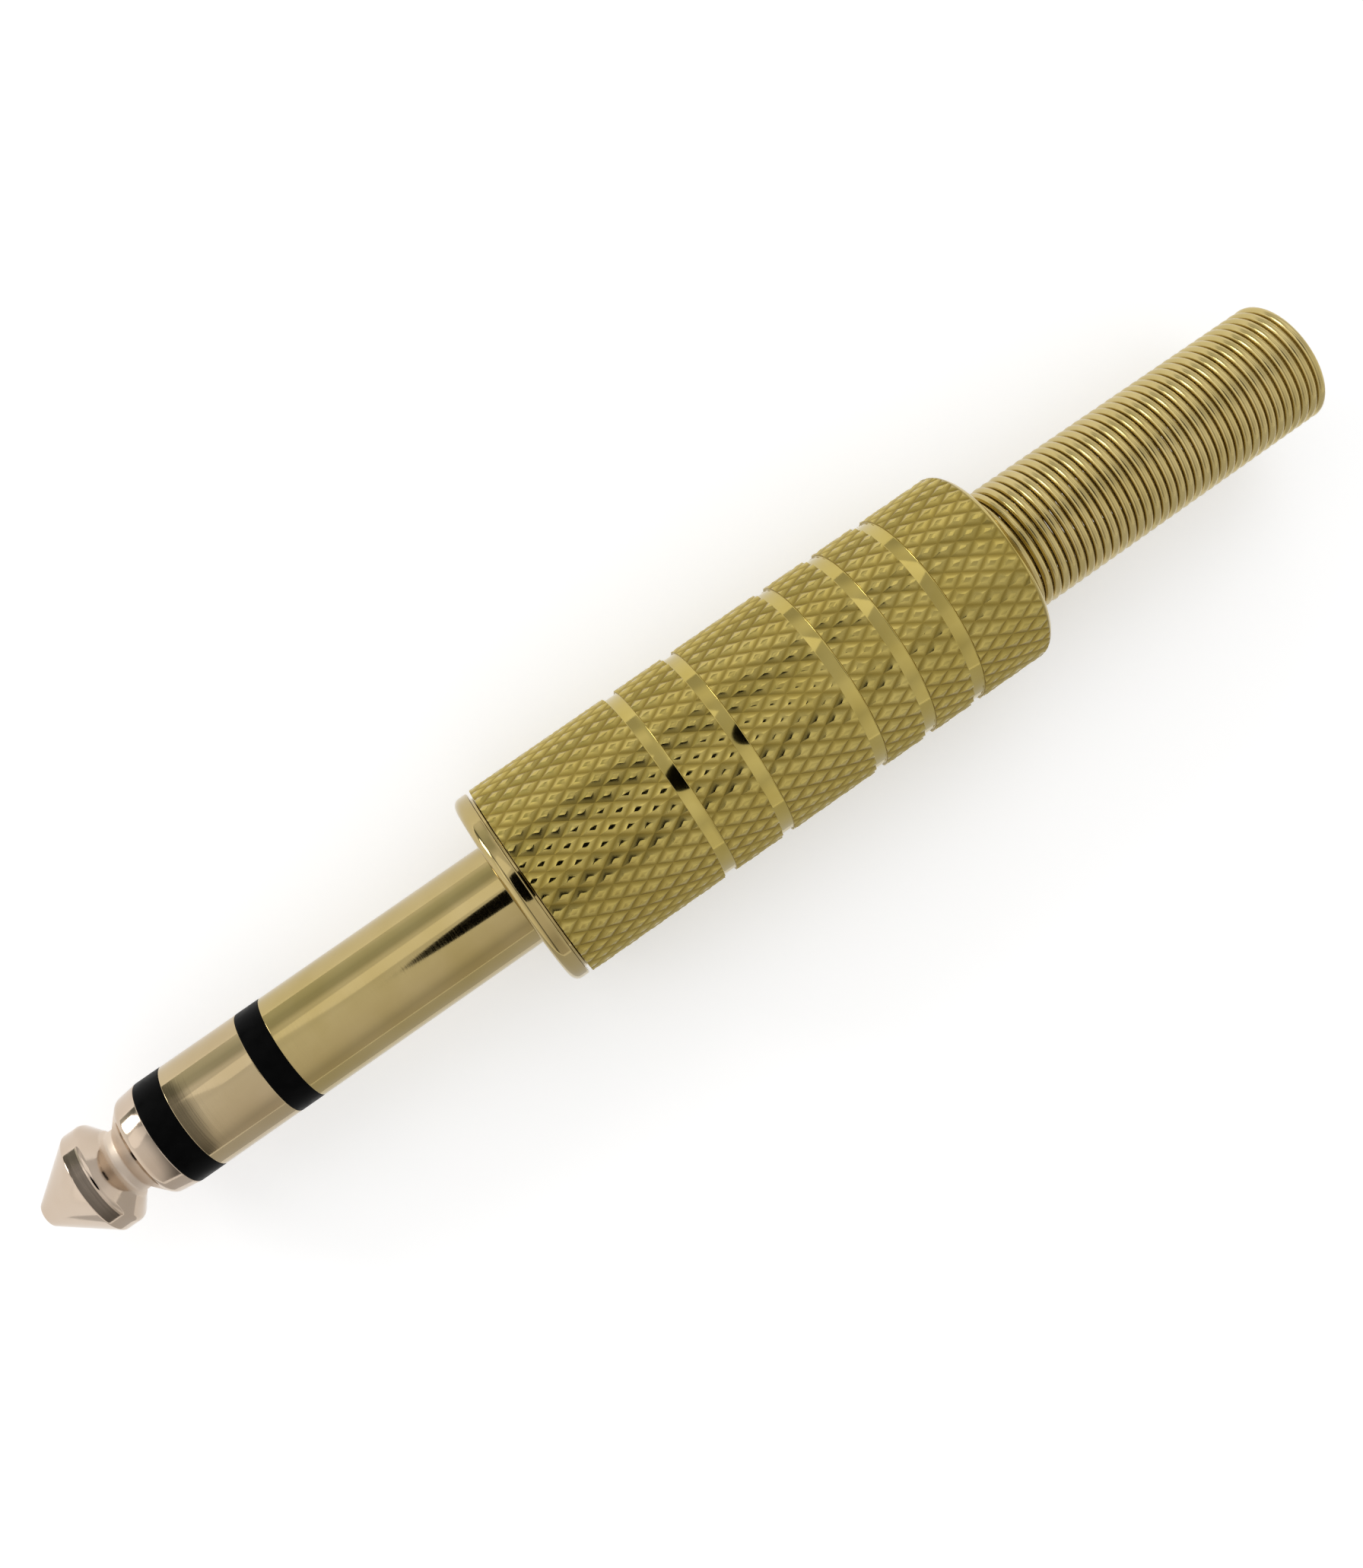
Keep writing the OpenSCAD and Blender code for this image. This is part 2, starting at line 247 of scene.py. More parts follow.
def rampOf(material, factor, stops):
    # grey levels or colours along a ramp
    ramp = addNode(material, "ShaderNodeValToRGB", [("Fac", factor)])
    marks = ramp.color_ramp.elements
    marks.remove(marks[1])  # a new ramp has two
    for index, (place, level) in enumerate(stops):
        mark = marks[0] if index == 0 else marks.new(place)
        mark.position = place
        mark.color = (*level, 1) if isinstance(level, tuple) else (level, level, level, 1)
    return ramp.outputs["Color"]


def blendColours(material, factor, low, high):
    return rampOf(material, factor, zip(noiseSpan, (low, high)))


def spreadOver(material, factor, first, last, low=0.0, high=1.0):
    # first becomes low, and last becomes high
    spread = addNode(
        material, "ShaderNodeMapRange", [("Value", factor)],
        **{"From Min": first, "From Max": last, "To Min": low, "To Max": high},
    )
    return spread.outputs["Result"]


def mixOver(material, factor, first, second, kind="RGBA", blend="MIX"):
    # first where the factor is 0, and second where it is 1
    firstInput, secondInput, output = mixSockets[kind]
    mix = addNode(material, "ShaderNodeMix", data_type=kind, blend_type=blend)
    for number, value in ((0, factor), (firstInput, first), (secondInput, second)):
        feed(material, value, mix.inputs[number])
    return mix.outputs[output]


def roughen(material, shader, factor, low, high):
    rough = spreadOver(material, factor, *noiseSpan, low, high)
    feed(material, rough, shader.inputs["Roughness"])
    return rough


def raiseSurface(material, shader, factor, strength, distance):
    bump = addNode(material, "ShaderNodeBump", [("Height", factor)], Strength=strength, Distance=distance * mm)
    feed(material, bump.outputs["Normal"], shader.inputs["Normal"])


# Gold plate on turned and bent pieces
plating = {
    "cloudScale": 320,
    "turnScale": 900,
    "turnStretch": (14, 0.25, 0.25),  # fine rings left by the lathe
    "turnDetail": 2.0,
    "turnDepth": 0.006,
}
goldFinishes = {
    "tip_gold": {
        "pale": (0.60, 0.49, 0.39), "deep": (0.54, 0.43, 0.325), "rough": (0.07, 0.12), "marks": 0.03,
        # a rougher band on the neck, painted paler as painted light against its shade; near and far are behind
        # the point, and the fade is a share of what lies between
        "roughNeckPaintedLight": {"near": 4.75, "far": 6.3, "fade": 0.08, "colour": (0.74, 0.63, 0.52), "rough": 0.5},
    },
    "contact_gold": {
        "pale": (0.485, 0.38, 0.175), "deep": (0.435, 0.335, 0.135), "rough": (0.06, 0.11), "marks": 0.05,
    },
    "ring_gold": {
        "pale": (0.515, 0.405, 0.24), "deep": (0.47, 0.365, 0.205), "rough": (0.06, 0.11), "marks": 0.05,
    },
    "spring_gold": {
        "pale": (0.58, 0.465, 0.205), "deep": (0.52, 0.41, 0.16), "rough": (0.18, 0.26), "marks": 0.05,
    },
    "terminal_gold": {
        "pale": (0.48, 0.39, 0.20), "deep": (0.42, 0.33, 0.16), "rough": (0.24, 0.36), "marks": 0.08,
    },
}


def roughenNeckPaintLight(material, shader, colour, rough, look):
    # a rougher band behind the tip's point, painted paler: painted light that lifts the shade in the neck
    point, fade = highX("tip_contact"), look["fade"]
    coords = addNode(material, "ShaderNodeTexCoord")
    split = addNode(material, "ShaderNodeSeparateXYZ", [("Vector", coords.outputs["Object"])])
    along = spreadOver(material, split.outputs["X"], (point - look["far"]) * mm, (point - look["near"]) * mm)
    band = rampOf(material, along, ((0.0, 0.0), (fade, 1.0), (1.0 - fade, 1.0), (1.0, 0.0)))
    # painted light: the band's paler colour
    plate = mixOver(material, band, colour, (*look["colour"], 1))
    feed(material, plate, shader.inputs["Base Color"])
    rougher = mixOver(material, band, rough, look["rough"], kind="FLOAT")
    feed(material, rougher, shader.inputs["Roughness"])


def goldPlate(slotName):
    look = goldFinishes[slotName]
    material, shader = newFinish(slotName, metallic=1.0)
    clouds = objectNoise(material, plating["cloudScale"])
    colour = blendColours(material, clouds, look["deep"], look["pale"])
    feed(material, colour, shader.inputs["Base Color"])
    turning = objectNoise(material, plating["turnScale"], plating["turnStretch"], plating["turnDetail"])
    rough = roughen(material, shader, turning, *look["rough"])
    if "roughNeckPaintedLight" in look:
        roughenNeckPaintLight(material, shader, colour, rough, look["roughNeckPaintedLight"])
    raiseSurface(material, shader, turning, look["marks"], plating["turnDepth"])
    return material


# Gold plate on the cover, with painted shade that darkens it where the knurl is deep, and rougher there
coverFinish = {
    "pale": (0.53, 0.42, 0.13),
    "deep": (0.47, 0.362, 0.095),
    "paintedShadeColour": (0.31, 0.226, 0.048),
    "cloudScale": 420,
    # from the groove's floor to the knurl's crests: how much painted shade darkens it, and how rough it is
    "paintedValleyShade": ((0.08, 0.0), (0.16, 1.0), (0.38, 0.9), (0.75, 0.0)),
    "rough": ((0.0, 0.08), (0.1, 0.08), (0.16, 0.40), (0.5, 0.37), (0.93, 0.12)),
    "grainScale": 2600,
    "grainStrength": 0.06,
    "grainDepth": 0.008,
}


def knurledGold():
    look = coverFinish
    material, shader = newFinish("cover_gold", metallic=1.0)
    clouds = objectNoise(material, look["cloudScale"])
    plate = blendColours(material, clouds, look["deep"], look["pale"])
    coords = addNode(material, "ShaderNodeTexCoord")
    flatten = addNode(material, "ShaderNodeVectorMath", [(0, coords.outputs["Object"])], operation="MULTIPLY")
    flatten.inputs[1].default_value = (0, 1, 1)  # its length is then the distance from the axis
    reach = addNode(material, "ShaderNodeVectorMath", [(0, flatten.outputs["Vector"])], operation="LENGTH")
    depth = spreadOver(material, reach.outputs["Value"], cover["grooveRadius"] * mm, cover["radius"] * mm)
    # painted shade: the plate turns darker towards the knurl's valleys
    paintedValleyShade = rampOf(material, depth, look["paintedValleyShade"])
    feed(material, mixOver(material, paintedValleyShade, plate, (*look["paintedShadeColour"], 1)), shader.inputs["Base Color"])
    feed(material, rampOf(material, depth, look["rough"]), shader.inputs["Roughness"])
    grain = objectNoise(material, look["grainScale"])
    raiseSurface(material, shader, grain, look["grainStrength"], look["grainDepth"])
    return material


# Plastic, fibre and tin
plainGrainDepth = 0.02
plainFinishes = {
    "black_insulator": {
        "low": (0.001, 0.001, 0.001), "high": (0.002, 0.002, 0.002), "rough": (0.32, 0.44),
        "scale": 1800, "strength": 0.08, "metallic": 0.0, "shine": 0.03,
    },
    "fibre_washer": {
        "low": (0.22, 0.060, 0.035), "high": (0.36, 0.115, 0.065), "rough": (0.62, 0.80),
        "scale": 2600, "strength": 0.30, "metallic": 0.0, "shine": 0.3,
    },
    "tinned_lug": {
        "low": (0.56, 0.55, 0.52), "high": (0.74, 0.73, 0.70), "rough": (0.24, 0.42),
        "scale": 1100, "strength": 0.14, "metallic": 1.0, "shine": 0.5,
    },
    "liner_plastic": {
        "low": (0.70, 0.69, 0.63), "high": (0.82, 0.81, 0.76), "rough": (0.38, 0.50),
        "scale": 700, "strength": 0.05, "metallic": 0.0, "shine": 0.5,
    },
}


def plainFinish(slotName):
    look = plainFinishes[slotName]
    material, shader = newFinish(slotName, look["metallic"], look["shine"])
    grain = objectNoise(material, look["scale"])
    feed(material, blendColours(material, grain, look["low"], look["high"]), shader.inputs["Base Color"])
    roughen(material, shader, grain, *look["rough"])
    raiseSurface(material, shader, grain, look["strength"], plainGrainDepth)
    return material


# Values that several pieces share: tubes nested around the tip's rod, and the shank that they end in
nest = {"rod": 1.0, "tubes": 4, "wall": 0.35, "gap": 0.03, "edge": 0.05}
tubeRadii = [nest["rod"] + step * (nest["wall"] + nest["gap"]) for step in range(nest["tubes"] + 1)]  # outsides
boreRadii = [radius + nest["gap"] for radius in tubeRadii]  # of what goes round each
shankRadius = radiusOf("ring_contact")


# Tip: pointed head, neck, shoulder, rod and riveted end, turned as one
tip = {
    "head": (3.045, 3.1, 0.15),  # radius, distance from the point, rounding
    "land": (3.2, 3.83),  # kept flat between these
    "headBack": (3.045, 4.05, 0.35),
    "neck": (1.875, 4.975, 0.2),
    "neckBack": (1.875, 5.425, 0.2),
    "shoulder": (3.005, 6.45, 0.5),
    "nose": (0.65, 0.45),  # radius and rounding
    "rivet": (1.5, 0.6, 0.4),  # radius, height, rounding
}


def makeTip():
    point, end, back = highX("tip_contact"), lowX("tip_contact"), highX("tip_insulator")
    rivetRadius, rivetHeight, rivetRound = tip["rivet"]
    lugEnd = end + rivetHeight
    corners = [
        (end, 0),
        (end, rivetRadius, rivetRound),
        (lugEnd, rivetRadius),
        (lugEnd, nest["rod"]),
        (back, nest["rod"]),
        (back, shankRadius, nest["edge"]),
    ]
    for corner in ("shoulder", "neckBack", "neck", "headBack"):
        radius, behind, rounding = tip[corner]
        corners.append((point - behind, radius, rounding))
    radius, behind, rounding = tip["head"]
    corners += [(point - flat, radius) for flat in reversed(tip["land"])]
    corners += [(point - behind, radius, rounding), (point, *tip["nose"]), (point, 0)]
    piece = turnPiece("tipContact", corners, closed=False)
    finishPiece(piece, "plug", finishes["tip_gold"], ["tip_contact"])


# Black collars and the ring: each is a collar as wide as the shank with a tube behind it
collaredTubes = {  # node, place in the nest, where the collar ends, slot and finish
    "tipInsulator": ("tip_insulator", 0, highX("ring_contact"), "black_insulator", "black_insulator"),
    "ringContact": ("ring_contact", 1, highX("ring_insulator"), "contact_gold", "ring_gold"),
    "ringInsulator": ("ring_insulator", 2, highX("sleeve_body"), "black_insulator", "black_insulator"),
}


def makeCollaredTube(name):
    node, layer, collarBack, slotName, finish = collaredTubes[name]
    inside, outside = boreRadii[layer], tubeRadii[layer + 1]
    corners = [
        (lowX(node), inside),
        (lowX(node), outside),
        (collarBack, outside),
        (collarBack, shankRadius, nest["edge"]),
        (highX(node), shankRadius, nest["edge"]),
        (highX(node), inside),
    ]
    piece = turnPiece(name, corners)
    finishPiece(piece, "plug", finishes[finish], [node])


# Thread: a ridge that is added to the neck and cut out of the cover's mouth
thread = {
    "pitch": 0.75,
    "foot": 0.66,
    "land": 0.12,
    "sink": 0.05,  # its foot lies this far under the surface that it starts from
    "turnSteps": 72,
}


def makeThread(base, crest, start, end):
    foot, land = thread["foot"], thread["land"]
    ridge = drawOutline("ridge", [
        (start - foot / 2, base),
        (start - land / 2, crest),
        (start + land / 2, crest),
        (start + foot / 2, base),
    ])
    bpy.ops.object.mode_set(mode="OBJECT")
    windAlong(ridge, (end - start) / thread["pitch"], end - start, thread["turnSteps"])
    bpy.ops.object.mode_set(mode="EDIT")
    capEnds()
    bpy.ops.object.mode_set(mode="OBJECT")
    return ridge


# Sleeve: shank, flange and neck with a cut thread
sleeve = {
    "flange": (6.0, 1.0, 0.5, 0.1),  # radius, width, front and back rounding
    "step": (5.6, 0.15),  # radius and width of the seam behind the flange
    "neckLength": 5.9,
    "neckEdge": 0.1,
    "threadRadius": 5.0,
    "threadDepth": 0.42,
    "threadSpare": 0.02,  # taller at first, then trimmed
    "trim": (0.01, 0.2),  # inside the neck's end, and under the thread's root
    "runout": (0.6, 0.45),  # plain length behind the thread, and the slope before it
    "undercut": 0.03,
    "chamfer": 0.3,
    "filletAtShank": 0.12,
}


def makeSleeve():
    flangeRadius, flangeWidth, frontRound, backRound = sleeve["flange"]
    stepRadius, stepWidth = sleeve["step"]
    threadRadius, neckEdge, chamfer = sleeve["threadRadius"], sleeve["neckEdge"], sleeve["chamfer"]
    plainLength, slope = sleeve["runout"]
    root = threadRadius - sleeve["threadDepth"]
    stepX = -flangeWidth - stepWidth
    neckX = stepX - sleeve["neckLength"]
    runoutX = stepX - plainLength
    bore, spigot = boreRadii[3], boreRadii[3] + nest["wall"]
    corners = [
        (lowX("sleeve_body"), bore),
        (lowX("sleeve_body"), spigot, nest["edge"]),
        (neckX, spigot),
        (neckX, root - neckEdge),
        (neckX + neckEdge, root),
        (runoutX, root),
        (runoutX, root - sleeve["undercut"]),
        (stepX, root - sleeve["undercut"]),
        (stepX, stepRadius, nest["edge"]),
        (-flangeWidth, stepRadius),
        (-flangeWidth, flangeRadius, backRound),
        (0, flangeRadius, frontRound),
        (0, shankRadius, sleeve["filletAtShank"]),
        (highX("sleeve_body"), shankRadius, nest["edge"]),
        (highX("sleeve_body"), bore),
    ]
    piece = turnPiece("sleeveBody", corners, steps=144)
    crest = threadRadius + sleeve["threadSpare"]
    ridge = makeThread(root - thread["sink"], crest, neckX - thread["pitch"], runoutX)
    inset, under = sleeve["trim"]
    envelope = turnPiece("envelope", [
        (neckX + inset, root - under),
        (neckX + inset, threadRadius - chamfer),
        (neckX + chamfer, threadRadius),
        (runoutX - slope, threadRadius),
        (runoutX, root - inset),
        (runoutX, root - under),
    ])
    combine(ridge, envelope, "INTERSECT")
    combine(piece, ridge, "UNION")
    finishPiece(piece, "plug", finishes["contact_gold"], ["sleeve_body"])


# Cover: a turned shell with grooves, and a diamond knurl rolled into its outside
cover = {
    "front": highX("cover"),
    "rear": lowX("cover"),
    "radius": radiusOf("cover"),
    "crestGap": 0.03,  # the shell starts this much wider than the knurl's crests
    "threadRadius": 5.1,
    "threadRoot": 5.36,
    "threadDepth": 6.45,
    "threadRelief": 0.7,  # plain length at the thread's inner end
    "mouthChamfer": 0.15,
    "bore": 4.75,
    "rearWall": 1.2,
    "rearHole": 4.05,
    "rearRound": 1.0,
    "holeRound": 0.2,
    "frontRound": 0.1,
    "grooves": (9.3, 13.2, 19.55, 22.9, 26.25),  # from the front
    "grooveWidth": 0.8,
    "grooveRadius": 5.87,
    "grooveRound": 0.06,
}
knurl = {
    "around": 36,
    "pitch": 1.64,
    "depth": 0.11,
    "flank": 0.27,
    "crestRound": (0.05, 0.012),  # width and height
    "spareRows": 2,  # the knurl is rolled longer than the cover
    "slack": 0.005,  # tells poked points from corners
}


def isStraight(edge):
    # an edge of the first grid: along the axis or around it
    here, there = edge.verts[0].co, edge.verts[1].co
    slim = 0.01 * mm
    return not edge.is_boundary and (abs(here.x - there.x) < slim or (here.yz - there.yz).length < slim)


def makeKnurl():
    front, rear, pitch, depth = cover["front"], cover["rear"], knurl["pitch"], knurl["depth"]
    rows = math.ceil((front - rear) / pitch) + knurl["spareRows"]
    valley = cover["radius"] - depth
    bpy.ops.object.select_all(action="DESELECT")
    bpy.ops.mesh.primitive_cylinder_add(
        vertices=knurl["around"], radius=valley * mm, depth=rows * pitch * mm, end_fill_type="NOTHING",
        location=((front + rear) / 2 * mm, 0, 0), rotation=(0, math.pi / 2, 0),
    )
    piece = startPiece("knurl")
    select(piece, "EDGE", lambda edge: not edge.is_boundary)
    bpy.ops.mesh.subdivide(number_cuts=rows - 1)
    bpy.ops.mesh.select_mode(type="FACE")
    bpy.ops.mesh.select_all(action="SELECT")
    bpy.ops.mesh.poke()
    select(piece, "VERT", lambda vert: vert.co.yz.length < (valley - knurl["slack"]) * mm)
    outward = 1 / math.cos(math.pi / knurl["around"])  # poked points lie on the flats
    bpy.ops.transform.resize(value=(1, outward, outward), center_override=(0, 0, 0))
    select(piece, "EDGE", isStraight)
    bpy.ops.mesh.dissolve_edges(use_verts=False)
    bpy.ops.mesh.select_mode(type="FACE")
    bpy.ops.mesh.select_all(action="SELECT")
    for wide, high in ((knurl["flank"], depth), knurl["crestRound"]):
        bpy.ops.mesh.inset(thickness=wide * mm, depth=high * mm, use_individual=True)
    widest = max(vert.co.yz.length for vert in bmesh.from_edit_mesh(piece.data).verts)
    bpy.ops.mesh.select_all(action="SELECT")
    fit = cover["radius"] * mm / widest
    bpy.ops.transform.resize(value=(1, fit, fit), center_override=(0, 0, 0))
    select(piece, "EDGE", lambda edge: edge.is_boundary)
    bpy.ops.mesh.fill_holes(sides=0)
    closeMesh()
    bpy.ops.object.mode_set(mode="OBJECT")
    return piece


def makeCover():
    front, rear, mouth = cover["front"], cover["rear"], cover["mouthChamfer"]
    outside = cover["radius"] + cover["crestGap"]
    half = cover["grooveWidth"] / 2
    corners = [
        (front - mouth, cover["threadRadius"]),
        (front, cover["threadRadius"] + mouth),
        (front, outside, cover["frontRound"]),
    ]
    for place in cover["grooves"]:
        middle = front - place
        corners += [
            (middle + half, outside),
            (middle + half, cover["grooveRadius"], cover["grooveRound"]),
            (middle - half, cover["grooveRadius"], cover["grooveRound"]),
            (middle - half, outside),
        ]
    corners += [
        (rear, outside, cover["rearRound"]),
        (rear, cover["rearHole"], cover["holeRound"]),
        (rear + cover["rearWall"], cover["rearHole"]),
        (rear + cover["rearWall"], cover["bore"]),
        (front - cover["threadDepth"], cover["bore"]),
        (front - cover["threadDepth"], cover["threadRadius"]),
    ]
    piece = turnPiece("cover", corners, steps=144)
    base, threadEnd = cover["threadRadius"] - thread["sink"], front - cover["threadDepth"] + cover["threadRelief"]
    combine(piece, makeThread(base, cover["threadRoot"], threadEnd, front + thread["pitch"]), "DIFFERENCE")
    combine(piece, makeKnurl(), "INTERSECT")
    finishPiece(piece, "cover", finishes["cover_gold"], ["cover"], sharpAngle=26)


# Spring: one round wire, wide inside the cover, then close turns that taper a little
spring = {
    "wire": 0.265,
    "gap": 0.05,  # the smallest between two turns
    "cutEdge": 0.07,
    "outside": 3.9,
    "taper": 0.15,
    "wideGap": 0.15,  # around the turns that the cover's rear wall traps
    "wideTurns": 1.5,
    "narrowingTurns": 1.25,
    "sides": 14,
    "turnSteps": 60,
}


def makeSpring():
    wire = spring["wire"]
    wideRadius = cover["bore"] - spring["wideGap"] - wire
    openRadius = spring["outside"] - wire
    hidden = spring["wideTurns"] + spring["narrowingTurns"]
    trappedX = cover["rear"] + cover["rearWall"] + spring["wideGap"] + wire
    openLength = trappedX - lowX("spring") - wire
    turns = math.floor(openLength / (2 * wire + spring["gap"]) + hidden)  # whole turns: the cut end faces down
    pitch = openLength / (turns - hidden)
    startX = trappedX + pitch * hidden
    bpy.ops.object.select_all(action="DESELECT")
    bpy.ops.mesh.primitive_circle_add(
        vertices=spring["sides"], radius=wire * mm, location=(startX * mm, 0, -wideRadius * mm),
        rotation=(math.pi / 2, 0, 0),
    )
    piece = startPiece("spring")
    bpy.ops.object.mode_set(mode="OBJECT")
    windAlong(piece, -turns, -pitch * turns, spring["turnSteps"])
    for vert in piece.data.vertices:  # draw the turns in to their own radius
        share = math.atan2(-vert.co.y, -vert.co.z) / fullTurn % 1
        turn = share + round((startX - vert.co.x / mm) / pitch - share)
        narrowed = min(1, max(0, (turn - spring["wideTurns"]) / spring["narrowingTurns"]))
        run = max(0, turn - hidden) / (turns - hidden)
        centre = wideRadius + (openRadius - wideRadius) * (1 - math.cos(math.pi * narrowed)) / 2
        centre -= spring["taper"] * run
        reach = vert.co.yz.length
        vert.co.yz *= (reach + (centre - wideRadius) * mm) / reach
    bpy.ops.object.mode_set(mode="EDIT")
    capEnds()
    select(piece, "FACE", lambda face: len(face.verts) > 4)  # the two cut ends
    bpy.ops.mesh.region_to_loop()
    bpy.ops.mesh.bevel(offset=spring["cutEdge"] * mm, segments=2)
    bpy.ops.object.mode_set(mode="OBJECT")
    finishPiece(piece, "spring", finishes["spring_gold"], ["spring"], sharpAngle=50)


# Plain turned rings: two fibre washers and the liner
linerWall = 0.35
rings = {  # node, bore, body, slot and edge
    "ringWasher": ("ring_washer", boreRadii[2], "plug", "fibre_washer", 0.06),
    "tipWasher": ("tip_washer", boreRadii[0], "plug", "fibre_washer", 0.06),
    "liner": ("liner", radiusOf("liner") - linerWall, "liner", "liner_plastic", 0.08),
}


def makeRing(name):
    node, inside, body, slotName, edge = rings[name]
    low, high, outside = lowX(node), highX(node), radiusOf(node)
    corners = [(low, inside, edge), (low, outside, edge), (high, outside, edge), (high, inside, edge)]
    piece = turnPiece(name, corners, steps=96)
    finishPiece(piece, body, finishes[slotName], [node])


# Sleeve terminal: one folded sheet with a staked plate, a strip and the cable clamp's two open tabs
terminal = {
    "sheet": 0.5,
    "rim": 0.35,
    "bend": 0.6,
    "stripHalf": 28,  # degrees on each side of straight down
    "tabs": 90,  # degrees further round, where the clamp is
    "clampLength": 5.0,
    "tabCorner": 0.8,
    "edge": 0.06,
    "steps": {"strip": 7, "plate": 76, "tab": 24},
    "near": 0.02,  # for finding edges by their place, with the angle in degrees
    "nearAngle": 0.5,
}


def angleFromBelow(point):
    return math.degrees(math.atan2(-point.y, -point.z))


def isNearAngle(angle, wanted):
    return abs(angle - wanted) < terminal["nearAngle"]


def spinOn(piece, angle, steps, test):
    select(piece, "EDGE", lambda edge: all(test(vert.co) for vert in edge.verts))
    bpy.ops.mesh.spin(
        steps=steps, angle=math.radians(angle), center=(0, 0, 0), axis=plugAxis, use_auto_merge=False
    )
    bpy.ops.mesh.select_all(action="SELECT")
    bpy.ops.mesh.remove_doubles(threshold=weld)


def sheetSide(piece):
    # the sheet's thickness goes inwards, whichever way its faces came out
    lowest = min(piece.data.polygons, key=lambda face: face.center.z)
    return -1 if lowest.normal.z < 0 else 1


def makeSleeveTerminal():
    front, rear = highX("sleeve_terminal"), lowX("sleeve_terminal")
    outside = -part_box("sleeve_terminal")[0].z / mm
    hole, rim = boreRadii[4], boreRadii[4] + terminal["rim"]
    clampX = rear + terminal["clampLength"]
    half, tabs, steps = terminal["stripHalf"], terminal["tabs"], terminal["steps"]
    near = terminal["near"] * mm

    def isTabCorner(vert):
        x, onRim = vert.co.x, vert.co.yz.length <= rim * mm + near
        atEnd = x < rear * mm + near or abs(x - clampX * mm) < near
        return vert.is_boundary and atEnd and not onRim and isNearAngle(abs(angleFromBelow(vert.co)), half + tabs)

    piece = drawOutline("sleeveTerminal", [
        (front, -hole),
        (front, -rim),
        (front, -outside, terminal["bend"]),
        (clampX, -outside),
        (rear, -outside),
    ], closed=False)
    for side in (1, -1):
        spinOn(piece, side * half, steps["strip"], lambda point: abs(point.y) < near)
    spinOn(piece, 360 - 2 * half, steps["plate"], lambda point: (
        point.yz.length < rim * mm + near and isNearAngle(angleFromBelow(point), half)))
    for side in (1, -1):
        spinOn(piece, side * tabs, steps["tab"], lambda point: (
            point.x < clampX * mm + near and isNearAngle(angleFromBelow(point), side * half)))
    select(piece, "VERT", isTabCorner)
    bpy.ops.mesh.bevel(offset=terminal["tabCorner"] * mm, segments=6, affect="VERTICES", clamp_overlap=False)
    closeMesh()
    bpy.ops.object.mode_set(mode="OBJECT")
    thick = terminal["sheet"] * mm
    applyModifier(piece, "SOLIDIFY", thickness=thick, offset=sheetSide(piece), use_even_offset=True)
    bevelEdges(piece, terminal["edge"])
    finishPiece(piece, "plug", finishes["terminal_gold"], ["sleeve_terminal"])


# Solder lugs: an eye on the tube, and a tail bent back along the plug with a hole near its round end
lugs = {
    "ringTerminal": {
        "node": "ring_terminal", "hole": boreRadii[2], "eye": 2.82, "tail": 2.97, "length": 7.0, "turn": -60,
    },
    "tipTerminal": {
        "node": "tip_terminal", "hole": boreRadii[0], "eye": 1.8, "tail": 1.8, "length": 7.5, "turn": 60,
    },
}
lugSheet = {"thick": 0.4, "wide": 2.2, "bend": 0.6, "wireHole": 0.6, "edge": 0.05}


def makeLugDisc(name, radius, deep, x, z):
    bpy.ops.object.select_all(action="DESELECT")
    bpy.ops.mesh.primitive_cylinder_add(
        vertices=40, radius=radius * mm, depth=deep * mm, location=(x * mm, 0, z * mm)
    )
    disc = startPiece(name)
    bpy.ops.object.mode_set(mode="OBJECT")
    return disc


def makeLug(name):
    lug, thick, wide, bend = lugs[name], lugSheet["thick"], lugSheet["wide"], lugSheet["bend"]
    hole, eye, inner, outer = lug["hole"], lug["eye"], lug["tail"], lug["tail"] + thick
    front = highX(lug["node"])
    back, endX = front - thick, front - thick - lug["length"] + wide / 2
    piece = turnPiece(name, [(back, hole), (back, eye), (front, eye), (front, hole)], steps=64)
    tail = drawOutline("tail", [
        (back, eye - thick),
        (back, inner, bend - thick),
        (endX, inner),
        (endX, outer),
        (front, outer, bend),
        (front, eye - thick),
    ])
    bpy.ops.mesh.select_all(action="SELECT")
    bpy.ops.mesh.edge_face_add()
    bpy.ops.transform.translate(value=(0, -wide / 2 * mm, 0))
    bpy.ops.mesh.extrude_region_move(TRANSFORM_OT_translate={"value": (0, wide * mm, 0)})
    closeMesh()
    bpy.ops.object.mode_set(mode="OBJECT")
    middle, through = lug["tail"] + thick / 2, 4 * thick
    combine(tail, makeLugDisc("tailEnd", wide / 2, thick, endX, middle), "UNION")
    combine(tail, makeLugDisc("wireHole", lugSheet["wireHole"], through, endX, middle), "DIFFERENCE")
    combine(piece, tail, "UNION")
    bevelEdges(piece, lugSheet["edge"])
    piece.rotation_euler = (math.radians(lug["turn"]), 0, 0)
    bpy.ops.object.transform_apply(location=True, rotation=True, scale=True)
    finishPiece(piece, "plug", finishes["tinned_lug"], [lug["node"]])


finishes = {name: goldPlate(name) for name in goldFinishes}
finishes.update({name: plainFinish(name) for name in plainFinishes})
finishes["cover_gold"] = knurledGold()
print("finishes:", len(finishes))

makeTip()
for tubeName in collaredTubes:
    makeCollaredTube(tubeName)
makeSleeve()
makeCover()
makeSpring()
for ringName in rings:
    makeRing(ringName)
makeSleeveTerminal()
for lugName in lugs:
    makeLug(lugName)


# Stage: white floor and background, a banded dome, soft boxes, a grey card, and the camera with a dark card
plugMiddle = Vector((-0.012, 0, 0))


